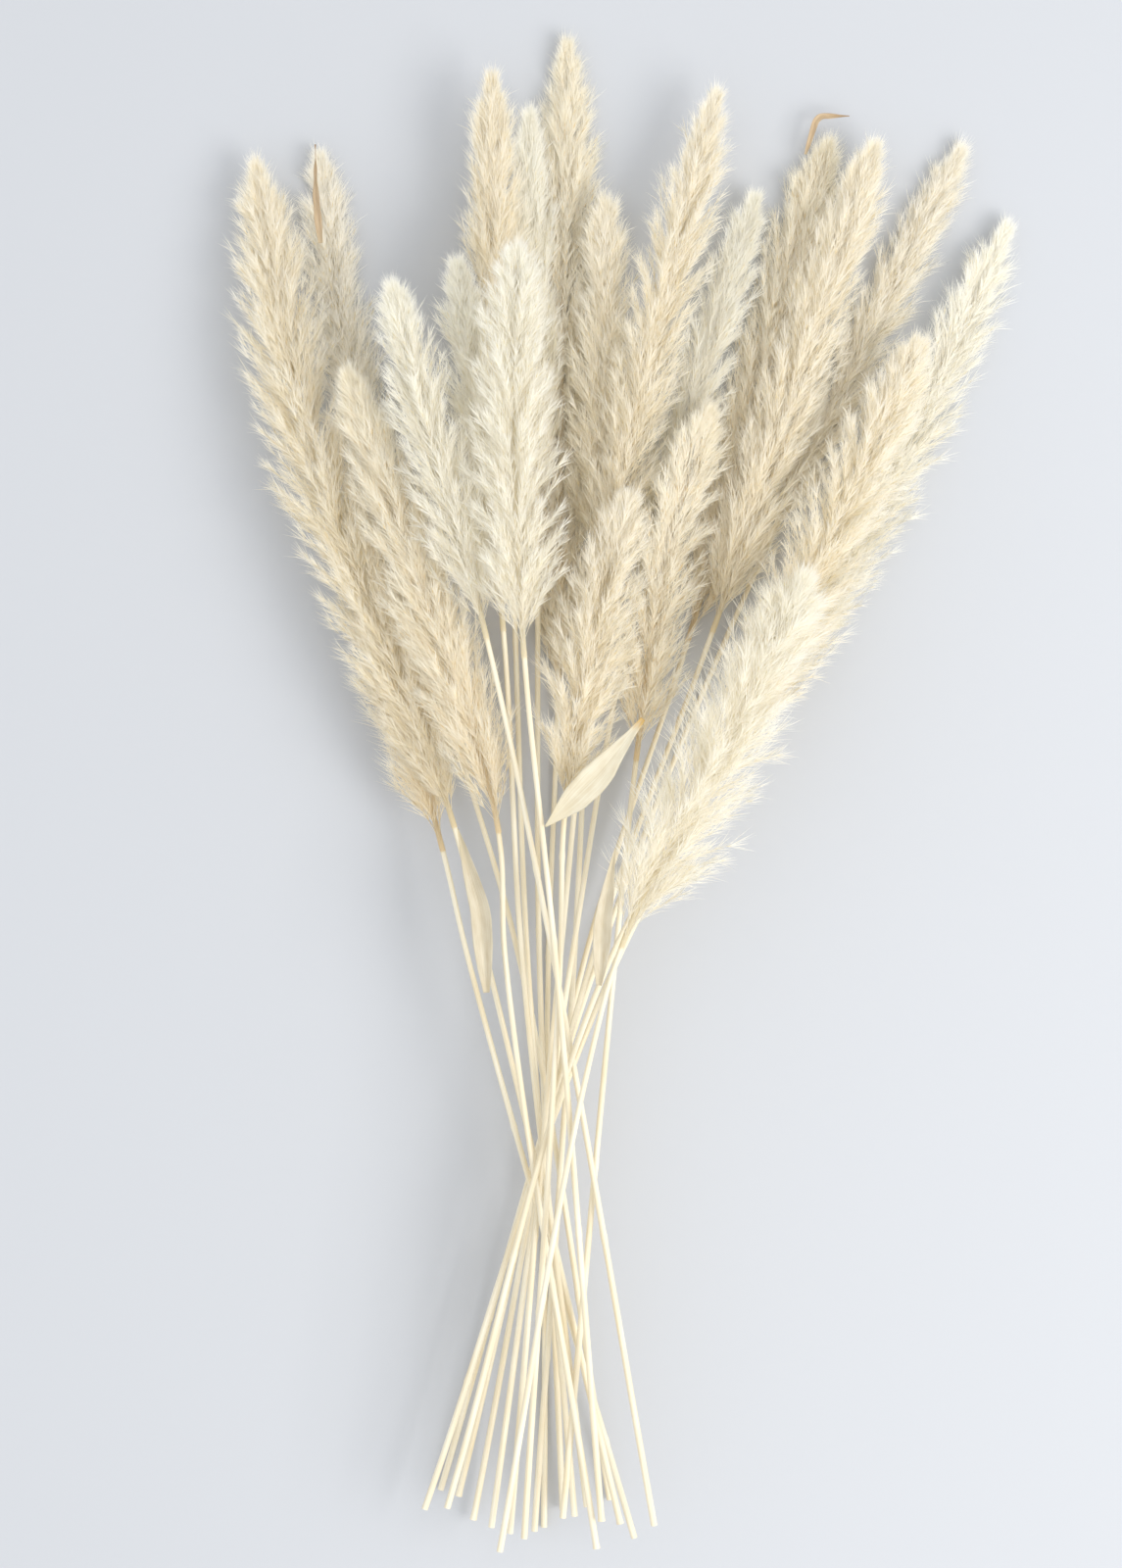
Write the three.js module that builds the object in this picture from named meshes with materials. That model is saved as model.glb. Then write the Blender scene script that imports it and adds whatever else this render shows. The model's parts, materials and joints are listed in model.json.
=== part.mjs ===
// A bunch of dried pampas grass, lying on a flat surface: plumes fanned out at the top,
// their stems gathered at a neck and crossing a little on the way down to the cut ends.
// Millimetres. +X is to the right, +Y runs from the cut ends to the tips, +Z is up from the
// surface, and the origin is under the middle of the bunch.
import * as THREE from "three";

// ---------- the whole bunch ----------
const FAN_WIDTH = 340; // across the plumes
const FAN_HEIGHT = 390; // from the neck to the tallest tip
const FOOT_LENGTH = 245; // from the neck to the longest cut end
const STRAIGHT = 45; // of stem under every plume before it passes the neck
const CUT_STAGGER = 4; // step between one cut end and the next shorter one
const CUT_LENGTHS = 5; // how many such steps there are

// The stalks' places below are drawn on a fan of this size, from the middle of the neck.
const DRAWN = { width: 340, height: 390 };

// ---------- one stalk ----------
const STEM_DIAMETER = 2.8;
const PLUME_FULLNESS = 1; // widens or narrows every plume
const PLUME_THICKNESS = 0.48; // of a settled plume, against its width
const RACHIS_HEIGHT = 0.55; // of a plume's middle line over what it lies on, against half its thickness
const FIRM_CORE = 0.45; // the share of a plume's width that rests its weight on what is below
const COLLAR = 3.2; // half the width of a plume where its stem ends
const TIP = 1.6; // half the width of a plume at its tip
const CLEARANCE = 0.3; // between pieces that touch
const SOFTNESS = 0.6; // the least thickness of a plume's edge
const SAG = 0.0006; // how fast a stalk curves back up between the places that it rests on, per mm
// How far ahead it rises before it crosses another, and how fast it curves down past it, per mm.
const STALK_STIFFNESS = { reach: 12, bend: 0.0016 };
const LEAF_STIFFNESS = { reach: 3, bend: 0.02 };
const SLOPE_ROOM = 0.05; // kept under a stem, whose underside drops a hair where it slopes

// ---------- leaves ----------
const LEAF_THICKNESS = 0.9;

// ---------- fineness ----------
const PLUME_SIDES = 10;
const PLUME_RINGS = 16;
const STEM_SIDES = 6;
const STEM_STEPS = 20;
const LEAF_SIDES = 6;
const LEAF_RINGS = 10;
const CELL = 1.5; // of the height map that keeps track of what lies where
const STATION = 3; // between the points where a stalk's height is worked out

const FINISH = {
  ivory: { color: 0xeee6d3, roughness: 0.95 },
  cream: { color: 0xe8dcc0, roughness: 0.95 },
  wheat: { color: 0xe0cca2, roughness: 0.95 },
  straw: { color: 0xdfcfa6, roughness: 0.6 },
  husk: { color: 0xb08a54, roughness: 0.7 },
};

// The stalks in the order they are laid down. For each, seen from above: the tip, the middle
// and the base of its plume, how far to the side its stem passes the neck and its cut end lies,
// and the full width of the plume.
const STALKS = [
  { tip: [6, 390], middle: [4, 272], base: [2, 110], neck: -2, foot: -4, width: 36, tone: "wheat" },
  { tip: [-10, 358], middle: [-10, 290], base: [-7, 190], neck: -6, foot: 4, width: 22, tone: "ivory" },
  { tip: [176, 346], middle: [139, 272], base: [92, 175], neck: 20, foot: -48, width: 27, tone: "cream" },
  { tip: [118, 348], middle: [91, 252], base: [58, 135], neck: 14, foot: -34, width: 34, tone: "wheat" },
  { tip: [-100, 344], middle: [-87, 250], base: [-50, 118], neck: -15, foot: 24, width: 31, tone: "cream" },
  { tip: [22, 322], middle: [22, 252], base: [17, 168], neck: 9, foot: -8, width: 28, tone: "cream" },
  { tip: [-26, 372], middle: [-24, 280], base: [-17, 158], neck: -11, foot: 9, width: 28, tone: "cream" },
  { tip: [137, 345], middle: [106, 252], base: [68, 138], neck: 17, foot: -40, width: 31, tone: "cream" },
  { tip: [87, 325], middle: [61, 240], base: [35, 150], neck: 8, foot: -26, width: 26, tone: "ivory" },
  { tip: [195, 313], middle: [152, 220], base: [82, 94], neck: 28, foot: -54, width: 36, tone: "ivory" },
  { tip: [-89, 184], middle: [-68, 116], base: [-47, 46], neck: -36, foot: 34, width: 28, tone: "wheat" },
  { tip: [-127, 338], middle: [-104, 222], base: [-42, 56], neck: -28, foot: 28, width: 41, tone: "cream" },
  { tip: [-41, 293], middle: [-32, 230], base: [-21, 138], neck: -13, foot: 14, width: 28, tone: "ivory" },
  { tip: [70, 367], middle: [42, 255], base: [20, 150], neck: 3, foot: -18, width: 30, tone: "cream" },
  { tip: [67, 233], middle: [47, 164], base: [35, 84], neck: 26, foot: 4, width: 31, tone: "wheat" },
  { tip: [-87, 246], middle: [-61, 172], base: [-23, 54], neck: -20, foot: 18, width: 34, tone: "wheat" },
  { tip: [-68, 282], middle: [-50, 213], base: [-28, 134], neck: 0, foot: 42, width: 29, tone: "ivory" },
  { tip: [156, 262], middle: [125, 194], base: [72, 84], neck: 24, foot: -44, width: 41, tone: "cream" },
  { tip: [33, 196], middle: [17, 130], base: [5, 62], neck: 3, foot: -12, width: 34, tone: "cream" },
  { tip: [-15, 297], middle: [-16, 213], base: [-12, 126], neck: 1, foot: 20, width: 36, tone: "ivory" },
  { tip: [106, 160], middle: [69, 84], base: [29, 7], neck: 16, foot: -22, width: 46, tone: "ivory" },
];

// Leaf blades left on the stalks, each along a line seen from above, laid over everything else.
const LEAVES = [
  { name: "folded_leaf", line: [[35, 97], [19, 76], [-4, 53]], width: 12, finish: "straw" },
  { name: "flag_leaf", line: [[-98, 298], [-100, 318], [-101, 343]], width: 4.5, finish: "husk" },
  { name: "curled_leaf", line: [[107, 338], [111, 350], [116, 354], [126, 355]], width: 3, finish: "husk" },
  { name: "left_sheath", line: [[-26, -16], [-30, 20], [-41, 54]], width: 9, finish: "straw" },
  { name: "right_sheath", line: [[18, -12], [21, 14], [26, 46]], width: 8, finish: "straw" },
];

/** How high everything laid down so far reaches, in square cells seen from above. */
class HeightMap {
  constructor(halfWidth, halfLength) {
    this.halfWidth = halfWidth;
    this.halfLength = halfLength;
    this.columns = Math.ceil((2 * halfWidth) / CELL);
    this.rows = Math.ceil((2 * halfLength) / CELL);
    // The bare surface counts as one clearance below zero, so that a piece can lie right on it.
    this.heights = new Float32Array(this.columns * this.rows).fill(-CLEARANCE);
  }

  column(x) {
    return THREE.MathUtils.clamp(Math.floor((x + this.halfWidth) / CELL), 0, this.columns - 1);
  }

  row(y) {
    return THREE.MathUtils.clamp(Math.floor((y + this.halfLength) / CELL), 0, this.rows - 1);
  }

  /** The lowest height that a new piece may have over this rectangle. */
  floorOver(lowX, highX, lowY, highY) {
    let highest = -CLEARANCE;
    for (let row = this.row(lowY - CELL); row <= this.row(highY + CELL); row += 1) {
      for (let column = this.column(lowX - CELL); column <= this.column(highX + CELL); column += 1) {
        highest = Math.max(highest, this.heights[row * this.columns + column]);
      }
    }
    return highest + CLEARANCE;
  }

  /** Records a new piece, triangle by triangle. */
  add(geometry) {
    const faces = geometry.index ? geometry.toNonIndexed() : geometry;
    const position = faces.getAttribute("position");
    const corners = [new THREE.Vector3(), new THREE.Vector3(), new THREE.Vector3()];
    for (let face = 0; face < position.count; face += 3) {
      corners.forEach((corner, k) => corner.fromBufferAttribute(position, face + k));
      this.addTriangle(...corners);
    }
  }

  addTriangle(a, b, c) {
    const reach = Math.max(a.distanceTo(b), b.distanceTo(c), c.distanceTo(a));
    const parts = Math.max(1, Math.ceil(reach / (CELL / 2)));
    for (let i = 0; i <= parts; i += 1) {
      for (let j = 0; j <= parts - i; j += 1) {
        const [wa, wb] = [i / parts, j / parts];
        const wc = 1 - wa - wb;
        const cell =
          this.row(wa * a.y + wb * b.y + wc * c.y) * this.columns +
          this.column(wa * a.x + wb * b.x + wc * c.x);
        const height = wa * a.z + wb * b.z + wc * c.z;
        this.heights[cell] = Math.max(this.heights[cell], height);
      }
    }
  }
}

/** The highest of the values within reach of each one. */
function raised(values, reach) {
  return values.map((_, i) => Math.max(...values.slice(Math.max(0, i - reach), i + reach + 1)));
}

/** The mean of the values within reach of each one. */
function eased(values, reach) {
  return values.map((_, i) => {
    const near = values.slice(Math.max(0, i - reach), i + reach + 1);
    return near.reduce((sum, value) => sum + value, 0) / near.length;
  });
}

/** The lowest line over all the given heights that sags between them no more than a stalk does. */
function spanned(heights) {
  const hang = heights.map((_, i) => (SAG / 2) * (i * STATION) ** 2);
  const held = [];
  heights.forEach((height, i) => {
    const level = height - hang[i];
    const slopeFrom = (point) => (level - point.level) / (i - point.i);
    while (held.length > 1 && slopeFrom(held.at(-1)) >= slopeFrom(held.at(-2))) held.pop();
    held.push({ i, level });
  });
  let next = 1;
  return heights.map((_, i) => {
    while (held[next].i < i) next += 1;
    const [from, to] = [held[next - 1], held[next]];
    return THREE.MathUtils.lerp(from.level, to.level, (i - from.i) / (to.i - from.i)) + hang[i];
  });
}

/** The lowest line over all the given heights that curves down past them as a stalk bends. */
function drooped(heights, bend) {
  return heights.map((_, i) =>
    Math.max(...heights.map((height, j) => height - (bend / 2) * ((i - j) * STATION) ** 2)),
  );
}

/** A smooth line of heights that passes over all the given ones, as a stiff straw does. */
function laidOver(heights, stiffness) {
  const reach = Math.round(stiffness.reach / STATION);
  const clear = drooped(raised(heights, 2 * reach), stiffness.bend);
  return eased(eased(spanned(clear), reach), reach);
}

/** Half the width of a plume at a share of the way from its base to its tip. */
function plumeHalfWidth(width, share) {
  const along = THREE.MathUtils.clamp(share, 0, 1);
  const opening = THREE.MathUtils.smoothstep(along, -0.06, 0.24);
  const closing = Math.pow(1 - Math.pow(along, 7), 0.7);
  const end = THREE.MathUtils.lerp(COLLAR, TIP, along);
  return Math.max(end, (width / 2) * PLUME_FULLNESS * opening * closing);
}

/** One stalk: its line seen from above, and the height of that line once it is laid down. */
class Stalk {
  constructor(drawn, order) {
    const across = FAN_WIDTH / DRAWN.width;
    const along = FAN_HEIGHT / DRAWN.height;
    const [base, middle, tip] = [drawn.base, drawn.middle, drawn.tip].map(([x, y]) => ({
      x: x * across,
      y: y * along,
    }));
    const neck = { x: drawn.neck * across, y: Math.min(0, base.y - STRAIGHT) };
    const cut = FOOT_LENGTH - ((order * 7) % CUT_LENGTHS) * CUT_STAGGER;
    const foot = { x: drawn.foot * across, y: -cut };
    const points = [foot, neck, base, middle, tip];
    this.width = drawn.width;
    this.cut = foot.y;
    this.base = base.y;
    this.tip = tip.y;
    this.line = new THREE.CubicInterpolant(
      points.map((point) => point.y),
      points.map((point) => point.x),
      1,
      new Float32Array(1),
    );
  }

  /** How far to the right the stalk is at a place along it. */
  x(y) {
    return this.line.evaluate(y)[0];
  }

  halfWidth(y) {
    return plumeHalfWidth(this.width, (y - this.base) / (this.tip - this.base));
  }

  /** Half the thickness of the plume at a place along it. */
  halfThickness(y) {
    return Math.max(STEM_DIAMETER / 2, this.halfWidth(y) * PLUME_THICKNESS);
  }

  /** Works out the height of the stalk's middle line over what already lies there. */
  settle(map) {
    const stations = Math.ceil((this.tip - this.cut) / STATION);
    const step = (this.tip - this.cut) / stations;
    const needed = Array.from({ length: stations + 1 }, (_, i) => {
      const y = this.cut + i * step;
      const inPlume = y > this.base;
      const core = inPlume ? this.halfWidth(y) * FIRM_CORE : STEM_DIAMETER * 0.6;
      const rise = inPlume ? this.halfThickness(y) * RACHIS_HEIGHT : 0;
      const under = map.floorOver(this.x(y) - core, this.x(y) + core, y - step, y + step);
      return under + Math.max(STEM_DIAMETER / 2 + SLOPE_ROOM, rise);
    });
    this.step = step;
    this.heights = laidOver(needed, STALK_STIFFNESS);
  }

  /** The height of the stalk's middle line at a place along it. */
  z(y) {
    const at = THREE.MathUtils.clamp((y - this.cut) / this.step, 0, this.heights.length - 1);
    const below = Math.floor(at);
    const above = Math.min(below + 1, this.heights.length - 1);
    return THREE.MathUtils.lerp(this.heights[below], this.heights[above], at - below);
  }

  /** The stem, a round straw from the cut end up to the plume. */
  stem() {
    const [near, far] = [this.base - STATION, this.base];
    const sideways = Math.hypot(this.x(far) - this.x(near), this.z(far) - this.z(near));
    const lean = Math.atan2(sideways, STATION);
    // The stem's end is square to its own line, and the plume's is square to the bunch.
    const end = this.base - CLEARANCE - (STEM_DIAMETER / 2) * Math.sin(lean);
    const points = Array.from({ length: 2 * STEM_STEPS + 1 }, (_, i) => {
      const y = THREE.MathUtils.lerp(this.cut, end, i / (2 * STEM_STEPS));
      return new THREE.Vector3(this.x(y), y, this.z(y));
    });
    const corners = Array.from({ length: STEM_SIDES }, (_, i) => {
      const angle = (i / STEM_SIDES) * 2 * Math.PI;
      return new THREE.Vector2(Math.cos(angle), Math.sin(angle)).multiplyScalar(STEM_DIAMETER / 2);
    });
    return new THREE.ExtrudeGeometry(new THREE.Shape(corners), {
      steps: STEM_STEPS,
      bevelEnabled: false,
      extrudePath: new THREE.CatmullRomCurve3(points),
    });
  }

  /** The plume: a long soft body, domed above and shaped below by what it lies on. */
  plume(map) {
    const geometry = new THREE.CylinderGeometry(
      1, 1, 1, PLUME_SIDES, PLUME_RINGS, false, Math.PI / 2,
    );
    const ringY = (ring) => {
      const share = THREE.MathUtils.clamp(ring / PLUME_RINGS, 0, 1);
      return THREE.MathUtils.lerp(this.base, this.tip, share);
    };
    const columnX = (y, angle) => this.x(y) + Math.sin(angle) * this.halfWidth(y);
    // The floor under a corner is the highest one under all the faces that meet there.
    const floorAt = (ring, angle) => {
      const turn = (2 * Math.PI) / PLUME_SIDES;
      const xs = [-1, 0, 1].flatMap((row) =>
        [-turn, 0, turn].map((side) => columnX(ringY(ring + row), angle + side)),
      );
      return map.floorOver(Math.min(...xs), Math.max(...xs), ringY(ring - 1), ringY(ring + 1));
    };
    const corner = new THREE.Vector3();
    const position = geometry.getAttribute("position");
    for (let i = 0; i < position.count; i += 1) {
      corner.fromBufferAttribute(position, i);
      const ring = Math.round((corner.y + 0.5) * PLUME_RINGS);
      const y = ringY(ring);
      const middle = this.z(y);
      const onAxis = Math.hypot(corner.x, corner.z) < 0.5;
      const angle = Math.atan2(corner.x, corner.z);
      const swell = onAxis ? 0 : corner.z * this.halfThickness(y);
      const floor = onAxis ? 0 : floorAt(ring, angle);
      const skin = corner.z > 0.01 ? SOFTNESS : corner.z > -0.01 ? SOFTNESS / 2 : 0;
      const z = Math.max(floor + skin, middle + swell);
      position.setXYZ(i, this.x(y) + corner.x * this.halfWidth(y), y, z);
    }
    return geometry;
  }
}

/** A leaf blade: pointed at its far end, a little thicker along its middle. */
function leafBlade(leaf, map) {
  const scaled = leaf.line.map(
    ([x, y]) => new THREE.Vector2((x * FAN_WIDTH) / DRAWN.width, (y * FAN_HEIGHT) / DRAWN.height),
  );
  const line = new THREE.SplineCurve(scaled);
  const stations = Math.ceil(line.getLength() / STATION);
  const halfWidth = (share) =>
    (leaf.width / 2) * Math.max(0.12, Math.sqrt(1 - Math.pow(share, 3)) * (0.7 + 0.3 * share));
  const needed = line.getSpacedPoints(stations).map((point, i) => {
    const reach = halfWidth(i / stations) + STATION;
    return map.floorOver(point.x - reach, point.x + reach, point.y - reach, point.y + reach);
  });
  const heights = laidOver(needed, LEAF_STIFFNESS);
  const geometry = new THREE.CylinderGeometry(1, 1, 1, LEAF_SIDES, LEAF_RINGS, false, Math.PI / 2);
  const position = geometry.getAttribute("position");
  for (let i = 0; i < position.count; i += 1) {
    const share = position.getY(i) + 0.5;
    const point = line.getPointAt(share);
    const along = line.getTangentAt(share);
    const side = position.getX(i) * halfWidth(share);
    const lift = ((position.getZ(i) + 1) * LEAF_THICKNESS) / 2;
    const z = heights[Math.round(share * stations)] + lift;
    position.setXYZ(i, point.x + side * along.y, point.y - side * along.x, z);
  }
  return geometry;
}

function piece(name, geometry, finish) {
  const mesh = new THREE.Mesh(
    geometry,
    new THREE.MeshStandardMaterial({ ...FINISH[finish], metalness: 0 }),
  );
  mesh.name = name;
  return mesh;
}

const bunch = new THREE.Group();
const map = new HeightMap(FAN_WIDTH, FAN_HEIGHT + FOOT_LENGTH);
STALKS.forEach((drawn, order) => {
  const stalk = new Stalk(drawn, order);
  const number = String(order + 1).padStart(2, "0");
  stalk.settle(map);
  const plume = stalk.plume(map);
  const stem = stalk.stem();
  bunch.add(piece(`plume_${number}`, plume, drawn.tone), piece(`stem_${number}`, stem, "straw"));
  map.add(plume);
  map.add(stem);
});
LEAVES.forEach((leaf) => {
  const blade = leafBlade(leaf, map);
  bunch.add(piece(leaf.name, blade, leaf.finish));
  map.add(blade);
});

// The origin goes under the middle of the bunch, where it meets the surface.
const box = new THREE.Box3().setFromObject(bunch);
const middle = box.getCenter(new THREE.Vector3());
bunch.position.set(-middle.x, -middle.y, -box.min.z);

export default bunch;
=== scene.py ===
"""A bunch of dried pampas grass laid on a table: silky plumes, straw stems and a few leaf blades."""

import json
import logging
import math
from dataclasses import dataclass
from enum import Enum
from typing import Any, ClassVar

import bpy
import numpy as np
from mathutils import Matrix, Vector


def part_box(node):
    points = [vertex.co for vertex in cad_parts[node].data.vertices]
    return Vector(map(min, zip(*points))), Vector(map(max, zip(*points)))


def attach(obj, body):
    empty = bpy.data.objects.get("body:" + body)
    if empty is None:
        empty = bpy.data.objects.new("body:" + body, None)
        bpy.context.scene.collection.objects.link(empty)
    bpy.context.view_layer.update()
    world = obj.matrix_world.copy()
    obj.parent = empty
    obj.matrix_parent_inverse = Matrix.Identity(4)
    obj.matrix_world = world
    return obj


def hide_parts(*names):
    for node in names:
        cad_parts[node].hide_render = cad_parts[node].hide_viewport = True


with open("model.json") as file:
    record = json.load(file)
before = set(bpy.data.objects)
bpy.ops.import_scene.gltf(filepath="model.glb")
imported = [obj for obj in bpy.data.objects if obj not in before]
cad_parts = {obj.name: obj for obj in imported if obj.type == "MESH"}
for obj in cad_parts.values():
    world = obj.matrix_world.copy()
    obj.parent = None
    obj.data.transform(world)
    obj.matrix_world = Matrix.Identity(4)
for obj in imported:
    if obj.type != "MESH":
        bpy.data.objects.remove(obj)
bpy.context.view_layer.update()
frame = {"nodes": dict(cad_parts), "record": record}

log = logging.getLogger("pampas")

MM = 0.001
GOLDEN_ANGLE = math.pi * (3.0 - math.sqrt(5.0))
BAKE_MAP = "OFBake"

RGBA = tuple[float, float, float, float]


# ---------------------------------------------------------------------------
# Small helpers
# ---------------------------------------------------------------------------

def linear(red: int, green: int, blue: int) -> RGBA:
    """Turns a colour given as screen values from 0 to 255 into the linear one that shaders use.

    Args:
        red: Red, 0 to 255.
        green: Green, 0 to 255.
        blue: Blue, 0 to 255.

    Returns:
        Linear red, green, blue and an alpha of 1.
    """
    def channel(value: int) -> float:
        """One channel, from the screen's curve to linear light."""
        share = value / 255.0
        return share / 12.92 if share <= 0.04045 else ((share + 0.055) / 1.055) ** 2.4

    return (channel(red), channel(green), channel(blue), 1.0)


class Wiring:
    """Adds nodes to a node tree and joins them, for geometry and shader trees alike."""

    def __init__(self, tree: bpy.types.NodeTree) -> None:
        """Keeps the tree that the nodes are added to."""
        self.tree = tree

    def join(self, value: Any, socket: bpy.types.NodeSocket) -> None:
        """Links an output to a socket, or sets the socket to a plain value.

        Args:
            value: An output socket, or the value that the socket takes.
            socket: The input socket.
        """
        if isinstance(value, bpy.types.NodeSocket):
            self.tree.links.new(value, socket)
        else:
            socket.default_value = value

    def add(self, kind: str, inputs: dict[Any, Any] | None = None, **settings: Any) -> bpy.types.Node:
        """Adds one node.

        Args:
            kind: The node's type name.
            inputs: Values or output sockets for its inputs, by name or number.
            **settings: The node's own properties.

        Returns:
            The new node.
        """
        node = self.tree.nodes.new(kind)
        for name, value in settings.items():
            setattr(node, name, value)
        for key, value in (inputs or {}).items():
            self.join(value, node.inputs[key])
        return node

    def math(self, operation: str, *values: Any) -> bpy.types.NodeSocket:
        """A number worked out from one to three others.

        Args:
            operation: The Math node's operation.
            *values: Numbers or output sockets.

        Returns:
            The result's socket.
        """
        return self.add("ShaderNodeMath", dict(enumerate(values)), operation=operation).outputs[0]

    def remap(self, value: Any, low: Any, high: Any, to_low: Any = 0.0, to_high: Any = 1.0,
              smooth: bool = False) -> bpy.types.NodeSocket:
        """A number moved from one range to another, held inside it.

        Args:
            value: The number.
            low: Start of the range it comes from.
            high: End of that range.
            to_low: What low becomes.
            to_high: What high becomes.
            smooth: True for a change that eases in and out.

        Returns:
            The result's socket.
        """
        inputs = {0: value, 1: low, 2: high, 3: to_low, 4: to_high}
        kind = "SMOOTHSTEP" if smooth else "LINEAR"
        return self.add("ShaderNodeMapRange", inputs, interpolation_type=kind).outputs[0]

    def random(self, low: float, high: float, seed: Any, identity: Any) -> bpy.types.NodeSocket:
        """A fixed random number for each element of a geometry.

        Args:
            low: The least that it may be.
            high: The most that it may be.
            seed: The tree's seed, so that each plume differs.
            identity: What tells one element from the next.

        Returns:
            The number's socket.
        """
        node = self.add("FunctionNodeRandomValue", data_type="FLOAT")
        for name, value in (("Min", low), ("Max", high)):
            next(s for s in node.inputs if s.name == name and s.enabled).default_value = value
        self.join(identity, node.inputs["ID"])
        self.join(seed, node.inputs["Seed"])
        return next(s for s in node.outputs if s.enabled)

    def mix(self, share: Any, first: Any, second: Any) -> bpy.types.NodeSocket:
        """A colour between two others.

        Args:
            share: How much of the second colour there is, from 0 to 1.
            first: The first colour.
            second: The second colour.

        Returns:
            The colour's socket.
        """
        return self.add("ShaderNodeMix", {0: share, 6: first, 7: second}, data_type="RGBA").outputs[2]

    def stored(self, geometry: Any, name: str, value: Any) -> bpy.types.NodeSocket:
        """The geometry with one number kept on each of its points.

        Args:
            geometry: The geometry's socket.
            name: The attribute's name.
            value: The number or its socket.

        Returns:
            The geometry's socket.
        """
        node = self.add("GeometryNodeStoreNamedAttribute", {"Geometry": geometry, "Name": name},
                        data_type="FLOAT", domain="POINT")
        self.join(value, node.inputs["Value"])
        return node.outputs[0]


def geometry_tree(name: str, inputs: dict[str, str]) -> tuple[bpy.types.NodeTree, dict[str, str]]:
    """Starts a geometry tree.

    Args:
        name: The tree's name.
        inputs: Each named input and its socket type.

    Returns:
        The tree, and the identifier of each input.
    """
    tree = bpy.data.node_groups.new(name, "GeometryNodeTree")
    tree.interface.new_socket(name="Geometry", in_out="INPUT", socket_type="NodeSocketGeometry")
    tree.interface.new_socket(name="Geometry", in_out="OUTPUT", socket_type="NodeSocketGeometry")
    identifiers = {}
    for label, kind in inputs.items():
        socket = tree.interface.new_socket(name=label, in_out="INPUT", socket_type=kind)
        identifiers[label] = socket.identifier
    return tree, identifiers


def grown_mesh(seat: bpy.types.Object, tree: bpy.types.NodeTree, identifiers: dict[str, str],
               values: dict[str, Any]) -> bpy.types.Mesh:
    """Runs a geometry tree on an object and keeps the result as a plain mesh.

    Args:
        seat: The object whose data the tree starts from. It is removed.
        tree: The geometry tree.
        identifiers: The identifier of each named input.
        values: The value of each named input.

    Returns:
        The mesh that the tree made.
    """
    bpy.context.scene.collection.objects.link(seat)
    modifier = seat.modifiers.new("growth", "NODES")
    modifier.node_group = tree
    for name, value in values.items():
        modifier[identifiers[name]] = value
    graph = bpy.context.evaluated_depsgraph_get()
    mesh = bpy.data.meshes.new_from_object(seat.evaluated_get(graph), depsgraph=graph,
                                           preserve_all_data_layers=True)
    data = seat.data
    bpy.data.objects.remove(seat)
    if isinstance(data, bpy.types.Mesh):
        bpy.data.meshes.remove(data)
    else:
        bpy.data.curves.remove(data)
    return mesh


def points_of(mesh: bpy.types.Mesh) -> np.ndarray:
    """The corners of a mesh, one row each, in metres."""
    flat = np.empty(len(mesh.vertices) * 3, np.float32)
    mesh.vertices.foreach_get("co", flat)
    return flat.reshape(-1, 3).astype(float)


def numbers_of(mesh: bpy.types.Mesh, name: str) -> np.ndarray:
    """One number for each point of a mesh, from a named attribute, or zeros where it has none."""
    found = mesh.attributes.get(name)
    values = np.zeros(len(mesh.vertices), np.float32)
    if found is not None:
        found.data.foreach_get("value", values)
    return values.astype(float)


def lay_map(mesh: bpy.types.Mesh, across: np.ndarray, along: np.ndarray) -> None:
    """Gives a mesh the map that its finish reads.

    Args:
        mesh: The mesh.
        across: The map's first number, one for each face corner.
        along: Its second number, one for each face corner.
    """
    layer = mesh.uv_layers.new(name=BAKE_MAP)
    layer.data.foreach_set("uv", np.stack([across, along], 1).astype(np.float32).ravel())


def corner_points(mesh: bpy.types.Mesh) -> np.ndarray:
    """The number of the point at each face corner."""
    index = np.empty(len(mesh.loops), np.int32)
    mesh.loops.foreach_get("vertex_index", index)
    return index


def kept_above_table(mesh: bpy.types.Mesh) -> None:
    """Lifts whatever dips under the table top by a hair's breadth back up to it.

    Args:
        mesh: The mesh, in place.
    """
    places = points_of(mesh)
    places[:, 2] = np.maximum(places[:, 2], 0.0)
    mesh.vertices.foreach_set("co", places.astype(np.float32).ravel())


def finished_piece(name: str, mesh: bpy.types.Mesh, slot: str, *nodes: str) -> bpy.types.Object:
    """Puts a finished mesh in the scene as a piece that stands for CAD nodes.

    Args:
        name: The piece's name.
        mesh: Its mesh, in place.
        slot: The record's material slot; not used.
        *nodes: The CAD nodes that it stands for.

    Returns:
        The piece.
    """
    mesh.name = name
    piece = bpy.data.objects.new(name, mesh)
    bpy.context.scene.collection.objects.link(piece)
    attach(piece, "root")
    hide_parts(*nodes)
    log.info("%s: %d faces", name, len(mesh.polygons))
    return piece


# ---------------------------------------------------------------------------
# Finishes
# ---------------------------------------------------------------------------

class Tone(Enum):
    """The record's slots for plumes, from pale to dark."""

    IVORY = "plume_ivory"
    CREAM = "plume_cream"
    WHEAT = "plume_wheat"


def started_material(name: str) -> tuple[bpy.types.Material, Wiring, bpy.types.NodeSocket]:
    """Starts a material that reads its piece's own map.

    Args:
        name: The material's name.

    Returns:
        The material, its wiring and the map's socket.
    """
    material = bpy.data.materials.new(name)
    material.use_nodes = True
    material.node_tree.nodes.clear()
    w = Wiring(material.node_tree)
    return material, w, w.add("ShaderNodeUVMap", uv_map=BAKE_MAP).outputs[0]


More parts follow.
